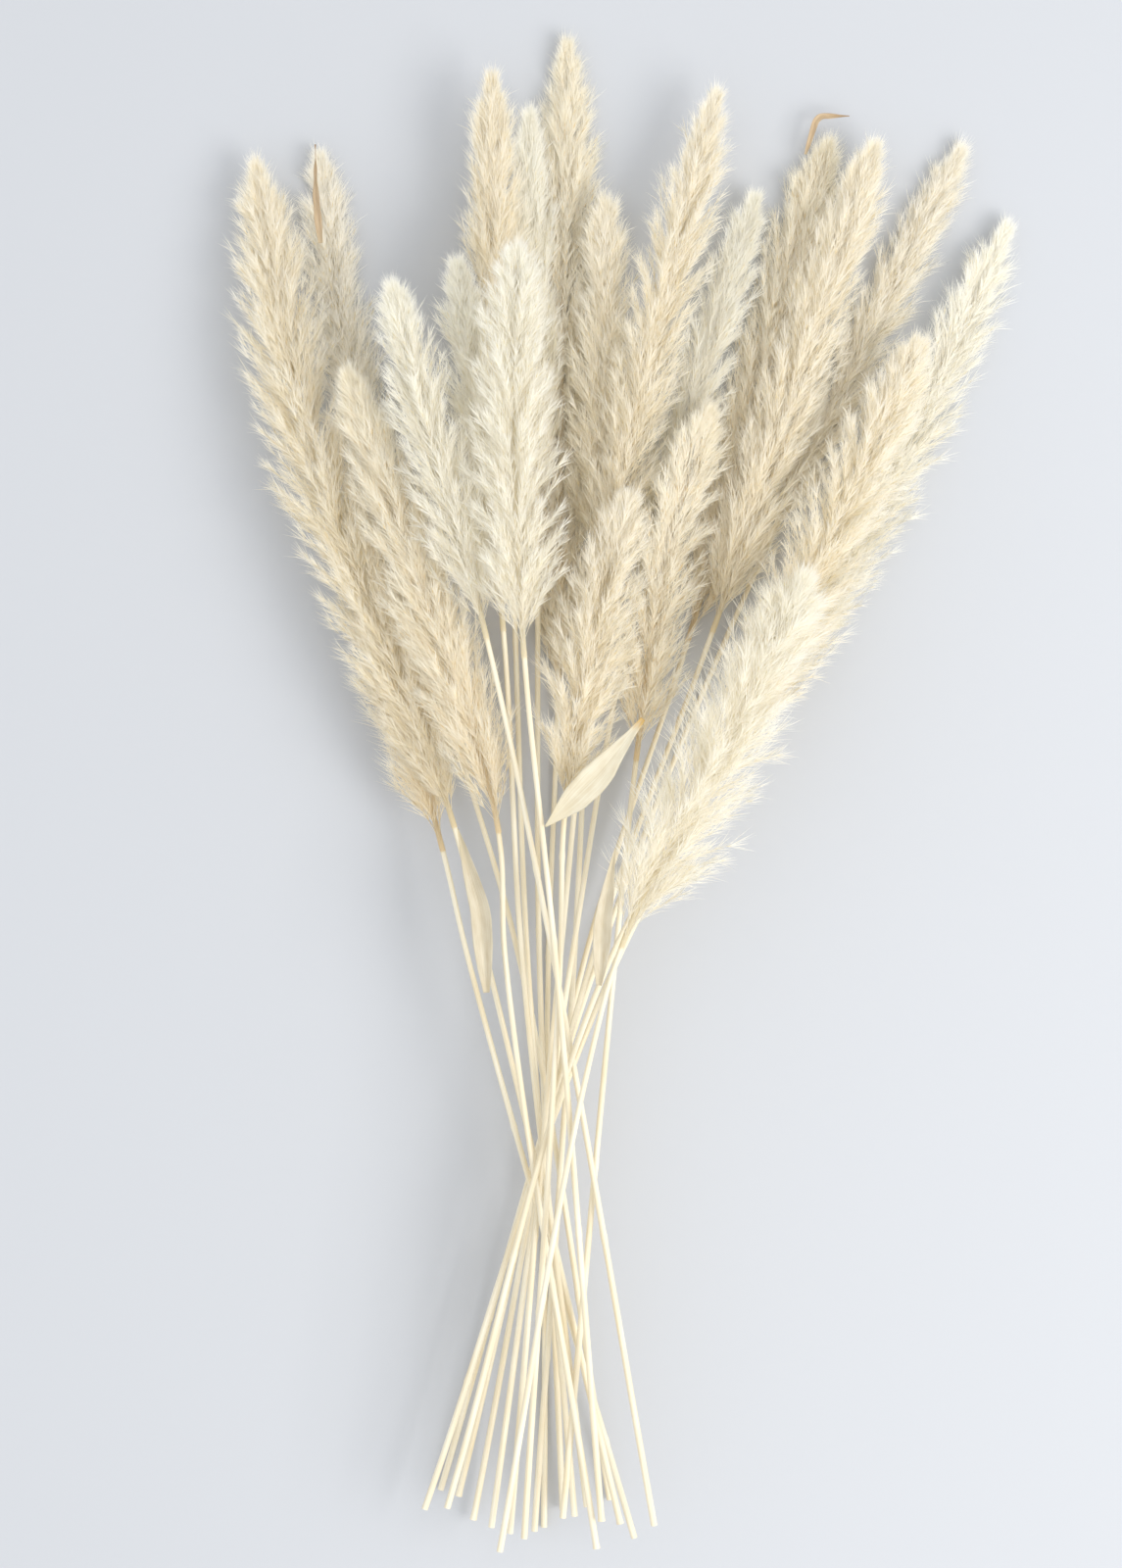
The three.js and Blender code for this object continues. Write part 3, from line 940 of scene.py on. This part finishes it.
@dataclass
class StemGrowth:
    """The tree that draws a straw along a path, with joints and a taper."""

    sides: int = 10

    def __post_init__(self) -> None:
        """Builds the tree once, for all the stems."""
        self.tree, self.identifiers = geometry_tree("stem_growth", {
            "Radius": "NodeSocketFloat", "Joint Spacing": "NodeSocketFloat",
            "Joint Offset": "NodeSocketFloat", "Finish": "NodeSocketMaterial"})
        w = Wiring(self.tree)
        given = w.add("NodeGroupInput").outputs
        path = w.add("GeometryNodeResampleCurve", {"Curve": given["Geometry"], "Length": 2.2 * MM},
                     mode="LENGTH").outputs[0]
        parameter = w.add("GeometryNodeSplineParameter").outputs
        taper = w.remap(parameter["Factor"], 0.0, 1.0, 1.0, 0.8)
        from_joint = w.math("PINGPONG", w.math("ADD", parameter["Length"], given["Joint Offset"]),
                            w.math("MULTIPLY", given["Joint Spacing"], 0.5))
        swell = w.remap(from_joint, 0.0, 3.0 * MM, 0.16, 0.0, smooth=True)
        radius = w.math("MULTIPLY", given["Radius"], w.math("ADD", taper, swell))
        path = w.stored(path, "along", parameter["Length"])
        path = w.stored(path, "joint", swell)
        path = w.add("GeometryNodeSetCurveRadius", {"Curve": path, "Radius": radius}).outputs[0]
        ring = w.add("GeometryNodeCurvePrimitiveCircle", {"Resolution": self.sides, "Radius": 1.0})
        ring = w.stored(ring.outputs[0], "around", parameter["Factor"])
        tube = w.add("GeometryNodeCurveToMesh", {
            0: path, 1: ring, "Scale": w.add("GeometryNodeInputRadius").outputs[0],
            "Fill Caps": True}).outputs[0]
        tube = w.add("GeometryNodeRealizeInstances", {0: tube}).outputs[0]
        tube = w.add("GeometryNodeSetMaterial", {0: tube, "Material": given["Finish"]}).outputs[0]
        w.add("NodeGroupOutput", {0: tube})


@dataclass
class Stem:
    """One straw, from its cut end to the foot of its plume."""

    number: int
    growth: StemGrowth
    finish: bpy.types.Material
    radius: float = 1.35 * MM

    @property
    def node(self) -> str:
        """The CAD node that the stem stands for."""
        return f"stem_{self.number:02d}"

    def course(self) -> np.ndarray:
        """Reads the stem's middle line from the CAD tube's rings.

        Returns:
            The middle of each ring, from the cut end up, in metres.
        """
        points = np.unique(np.round(points_of(frame["nodes"][self.node].data), 6), axis=0)
        points = points[np.argsort(points[:, 1])]
        breaks = np.nonzero(np.diff(points[:, 1]) > 4.0 * MM)[0] + 1
        return np.array([ring.mean(0) for ring in np.split(points, breaks)])

    def build(self) -> bpy.types.Object:
        """Makes the stem.

        Returns:
            The finished piece.
        """
        curve = bpy.data.curves.new("path", "CURVE")
        curve.dimensions = "3D"
        spline = curve.splines.new("BEZIER")
        course = self.course()
        spline.bezier_points.add(len(course) - 1)
        spline.resolution_u = 6
        for point, place in zip(spline.bezier_points, course):
            point.co = Vector(place)
            point.handle_left_type = point.handle_right_type = "AUTO"
        seat = bpy.data.objects.new("seat", curve)
        mesh = grown_mesh(seat, self.growth.tree, self.growth.identifiers, {
            "Radius": self.radius, "Joint Spacing": (120.0 + 17.0 * (self.number % 5)) * MM,
            "Joint Offset": (31.0 * (self.number % 4)) * MM, "Finish": self.finish})
        self.map_straw(mesh)
        kept_above_table(mesh)
        return finished_piece(f"{self.node}_straw", mesh, "stem", self.node)

    def map_straw(self, mesh: bpy.types.Mesh) -> None:
        """Lays the map round and along the straw.

        Args:
            mesh: The drawn straw.
        """
        corner = corner_points(mesh)
        around, along = numbers_of(mesh, "around")[corner], numbers_of(mesh, "along")[corner]
        starts = np.empty(len(mesh.polygons), np.int32)
        totals = np.empty(len(mesh.polygons), np.int32)
        mesh.polygons.foreach_get("loop_start", starts)
        mesh.polygons.foreach_get("loop_total", totals)
        for start, total in zip(starts, totals):
            part = slice(start, start + total)
            if total > 4:
                turn = np.arange(total) * 2 * math.pi / total
                around[part] = 0.5 + 0.1 * np.cos(turn)
                along[part] += 0.002 * np.sin(turn)
            elif np.ptp(around[part]) > 0.5:
                around[part] += np.where(around[part] < 0.5, 1.0, 0.0)
        lay_map(mesh, around, along + 0.37 * self.number)


# ---------------------------------------------------------------------------
# The leaves
# ---------------------------------------------------------------------------

@dataclass
class Blade:
    """A dry leaf blade or sheath that follows the CAD leaf it stands for.

    Its course is given as shares of the CAD leaf's box across and along the bunch, from the
    foot of the blade to its tip. Its widths are shares of the full width along that course.
    """

    node: str
    slot: str
    finish: bpy.types.Material
    course: tuple[tuple[float, float], ...]
    width: float
    widths: tuple[float, ...]
    fold: float = 0.35
    twist: float = 0.0
    ripple: float = 0.3 * MM
    thickness: float = 0.22 * MM
    stations: int = 64
    strips: int = 10

    def centre_line(self) -> np.ndarray:
        """The middle of the blade from foot to tip, at the height of the CAD leaf.

        Returns:
            One row for each station, in metres.
        """
        low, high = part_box(self.node)
        knots = np.array([(low.x + a * (high.x - low.x), low.y + b * (high.y - low.y))
                          for a, b in self.course])
        reach = np.concatenate([[0.0], np.cumsum(np.hypot(*np.diff(knots, axis=0).T))])
        share = reach / reach[-1]
        even = np.linspace(0.0, 1.0, self.stations)
        soft = np.hanning(15) / np.hanning(15).sum()
        plan = np.stack([np.convolve(np.pad(np.interp(even, share, knots[:, k]), 7, mode="reflect",
                                            reflect_type="odd"), soft, mode="valid")
                         for k in (0, 1)], 1)
        cad = points_of(frame["nodes"][self.node].data)
        gaps = np.linalg.norm(plan[:, None] - cad[None, :, :2], axis=2)
        weight = np.exp(-(gaps / (4.0 * MM)) ** 2 / 2) + 1e-9
        height = (weight * cad[:, 2]).sum(1) / weight.sum(1)
        return np.column_stack([plan, height])

    def build(self) -> bpy.types.Object:
        """Makes the blade as a thin closed skin.

        Returns:
            The finished piece.
        """
        line = self.centre_line()
        ahead = np.gradient(line, axis=0)
        ahead /= np.linalg.norm(ahead, axis=1)[:, None]
        side = np.cross(ahead, (0.0, 0.0, 1.0))
        side /= np.linalg.norm(side, axis=1)[:, None]
        up = np.cross(side, ahead)
        share = np.linspace(0.0, 1.0, self.stations)
        turn = self.twist * share
        side, up = (side * np.cos(turn)[:, None] + up * np.sin(turn)[:, None],
                    up * np.cos(turn)[:, None] - side * np.sin(turn)[:, None])
        half = self.width / 2 * np.interp(share, np.linspace(0, 1, len(self.widths)), self.widths)
        half = np.maximum(half, 0.15 * MM)
        across = np.linspace(-1.0, 1.0, self.strips + 1)
        rise = self.fold * np.abs(across)[None, :] ** 1.4 * half[:, None]
        wave = self.ripple * np.sin(share * 23.0)[:, None] * across[None, :] ** 3
        flat = (line[:, None] + side[:, None] * (half[:, None] * across)[..., None]
                + up[:, None] * (rise + wave)[..., None])
        top = flat + up[:, None] * self.thickness / 2
        under = flat - up[:, None] * self.thickness / 2
        ring = np.concatenate([top, under[:, ::-1]], axis=1)
        count = ring.shape[1]
        faces = [(i * count + j, (i + 1) * count + j, (i + 1) * count + (j + 1) % count,
                  i * count + (j + 1) % count)
                 for i in range(self.stations - 1) for j in range(count)]
        caps = [tuple(range(count)), tuple(reversed(range((self.stations - 1) * count,
                                                          self.stations * count)))]
        mesh = bpy.data.meshes.new(self.node)
        mesh.from_pydata(ring.reshape(-1, 3).tolist(), [], faces + caps)
        mesh.materials.append(self.finish)
        mesh.shade_smooth()
        corner = corner_points(mesh)
        place = np.concatenate([across, across[::-1]]) / 2 + 0.5
        row, column = corner // count, corner % count
        lay_map(mesh, place[column] + np.where(column >= count // 2, 0.01, 0.0), share[row])
        kept_above_table(mesh)
        return finished_piece(f"{self.node}_blade", mesh, self.slot, self.node)


# ---------------------------------------------------------------------------
# The room round it
# ---------------------------------------------------------------------------

@dataclass
class Studio:
    """The table, the light and the camera."""

    view_height: float = 0.668
    view_centre: tuple[float, float] = (-0.028, -0.001)
    lens: float = 85.0
    sensor: float = 36.0
    table_tone: RGBA = linear(197, 199, 203)

    def build(self) -> None:
        """Makes everything that isn't the object."""
        self.table()
        self.lights()
        self.camera()

    def table(self) -> None:
        """A plain pale table top."""
        mesh = bpy.data.meshes.new("table")
        half = 20.0
        mesh.from_pydata([(-half, -half, 0), (half, -half, 0), (half, half, 0), (-half, half, 0)],
                         [], [(0, 1, 2, 3)])
        table = bpy.data.objects.new("table", mesh)
        bpy.context.scene.collection.objects.link(table)
        material = bpy.data.materials.new("table_paint")
        material.use_nodes = True
        shader = material.node_tree.nodes["Principled BSDF"]
        shader.inputs["Base Color"].default_value = self.table_tone
        shader.inputs["Roughness"].default_value = 0.9
        shader.inputs["Specular IOR Level"].default_value = 0.1
        mesh.materials.append(material)

    def lights(self) -> None:
        """An even white sky, and one wide soft lamp from the right."""
        world = bpy.data.worlds.new("sky")
        world.use_nodes = True
        sky = world.node_tree.nodes["Background"]
        sky.inputs["Color"].default_value = (0.96, 0.98, 1.0, 1.0)
        sky.inputs["Strength"].default_value = 1.06
        bpy.context.scene.world = world
        data = bpy.data.lights.new("window", "AREA")
        data.shape = "RECTANGLE"
        data.size, data.size_y = 1.2, 0.9
        data.energy = 17.0
        data.color = (1.0, 0.985, 0.96)
        lamp = bpy.data.objects.new("window", data)
        lamp.location = (1.15, -0.35, 1.25)
        lamp.rotation_euler = (Vector((0, 0, 0)) - Vector(lamp.location)).to_track_quat(
            "-Z", "Y").to_euler()
        bpy.context.scene.collection.objects.link(lamp)

    def camera(self) -> None:
        """A camera straight above the bunch."""
        data = bpy.data.cameras.new("camera")
        data.lens, data.sensor_width = self.lens, self.sensor
        camera = bpy.data.objects.new("camera", data)
        distance = self.view_height / 2 / (self.sensor / 2 / self.lens)
        camera.location = (*self.view_centre, distance)
        bpy.context.scene.collection.objects.link(camera)
        bpy.context.scene.camera = camera
        bpy.context.scene.view_settings.view_transform = "Standard"
        bpy.context.scene.cycles.diffuse_bounces = 10


HABITS = {
    Habit.SLEEK: (1, 2, 4, 7, 8, 12, 16),
    Habit.TUFTED: (3, 5, 6, 9, 10, 13, 14, 15, 17, 18, 19, 20),
    Habit.LOOSE: (11, 21),
}

# How far each plume's tone shifts: a positive shift moves its hairs towards the darker inside colour,
# and a negative one makes them paler. The negative shifts are painted light, which lifts plumes low
# in the pile that lie in the shade of the plumes above.
TONE_SHIFTS_AND_PAINTED_LIGHT = {1: -0.5, 3: -0.2, 4: -0.3, 5: -0.5, 7: 0.2, 12: 0.1, 15: -0.4, 16: -0.3, 21: 0.2}

# The plumes that stay full up to the tip, and how blunt those and the others are.
FULL_TIPS = (4, 8, 12, 21)
FULL, POINTED = 7.0, 5.5


def build_leaves() -> None:
    """Makes the leaf blades and sheaths left on the stalks."""
    pale = BladeFinish("dry_leaf", flat=linear(235, 229, 209), vein=linear(219, 207, 178),
                       foot=linear(214, 180, 112), tip=linear(230, 220, 192)).material()
    sheath = BladeFinish("sheath", flat=linear(232, 224, 203), vein=linear(212, 199, 170),
                         foot=linear(222, 210, 182), tip=linear(226, 214, 184)).material()
    brown = BladeFinish("brown_leaf", flat=linear(222, 200, 166), vein=linear(198, 170, 132),
                        foot=linear(214, 194, 160), tip=linear(186, 154, 118)).material()
    Blade("folded_leaf", "leaf", pale, course=((0.97, 0.97), (0.55, 0.5), (0.03, 0.03)),
          width=13.0 * MM, widths=(0.16, 0.3, 0.55, 0.85, 1.0, 0.92, 0.55, 0.04),
          fold=0.22, twist=0.5).build()
    Blade("left_sheath", "leaf", sheath, course=((0.75, 0.02), (0.62, 0.5), (0.1, 0.98)),
          width=8.6 * MM, widths=(0.3, 0.7, 0.95, 1.0, 0.9, 0.7, 0.4, 0.04), fold=0.7).build()
    Blade("right_sheath", "leaf", sheath, course=((0.3, 0.02), (0.45, 0.5), (0.85, 0.98)),
          width=7.6 * MM, widths=(0.3, 0.7, 0.95, 1.0, 0.85, 0.65, 0.35, 0.04), fold=0.7).build()
    Blade("flag_leaf", "husk", brown, course=((0.75, 0.02), (0.4, 0.5), (0.25, 0.98)),
          width=3.2 * MM, widths=(0.6, 0.9, 1.0, 0.9, 0.7, 0.45, 0.2, 0.03), fold=0.4,
          twist=0.9).build()
    Blade("curled_leaf", "husk", brown,
          course=((0.04, 0.02), (0.26, 0.82), (0.36, 0.93), (0.98, 0.95)),
          width=2.8 * MM, widths=(0.4, 0.7, 0.85, 1.0, 1.0, 0.8, 0.45, 0.06), fold=0.5).build()


def main() -> None:
    """Builds the bunch and the room, and writes down how big it came out."""
    logging.basicConfig(level=logging.INFO, format="%(name)s: %(message)s")
    Studio().build()
    slots = {part["node"]: part["material_slot"] for part in frame["record"]["subparts"]}
    growth = PlumeGrowth()
    silks = {tone: finish.material() for tone, finish in SILKS.items()}
    numbers = sorted(int(node[-2:]) for node in frame["nodes"] if node.startswith("plume_"))
    for number in numbers:
        tone = Tone(slots[f"plume_{number:02d}"])
        habit = next(kind for kind, those in HABITS.items() if number in those)
        blunt = FULL if number in FULL_TIPS else POINTED
        Plume(number, growth, habit, blunt, TONE_SHIFTS_AND_PAINTED_LIGHT.get(number, 0.0), tone, silks[tone]).build()
    straw = StrawFinish().material()
    stem_growth = StemGrowth()
    for number in numbers:
        Stem(number, stem_growth, straw).build()
    build_leaves()


if __name__ == "__main__":
    main()
